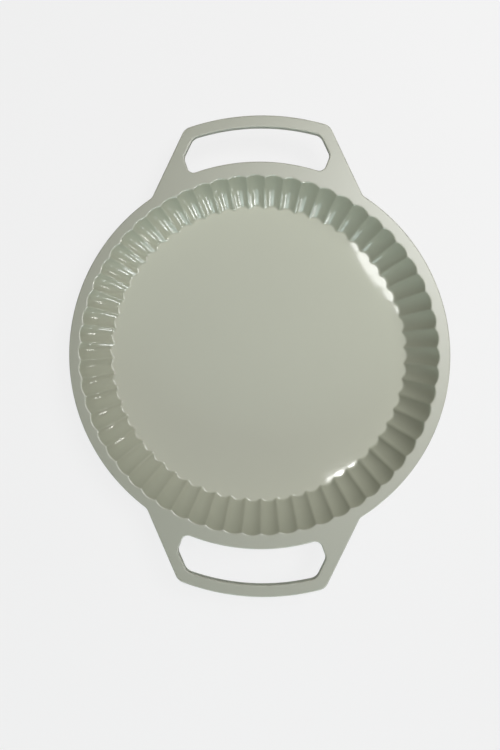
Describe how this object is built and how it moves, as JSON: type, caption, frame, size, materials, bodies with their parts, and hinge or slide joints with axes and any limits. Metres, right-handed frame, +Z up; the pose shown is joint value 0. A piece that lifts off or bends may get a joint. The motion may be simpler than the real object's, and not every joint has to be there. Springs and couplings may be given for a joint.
{
  "type": "fluted silicone baking pan",
  "caption": "Round shallow baking pan of soft silicone, with a fluted sloping wall, a flat rim and open loop handles.",
  "frame": {"origin": "centre of the flat underside of the floor", "axes": "+Y through the middle of one handle, +Z up out of the bowl"},
  "size_m": [0.2784, 0.3518, 0.035],
  "materials": {
    "silicone": "sage green silicone, glossy inside the bowl and satin on the rim, the handles and the outside"
  },
  "bodies": {
    "root": {"baking_pan": "silicone"}
  },
  "joints": []
}
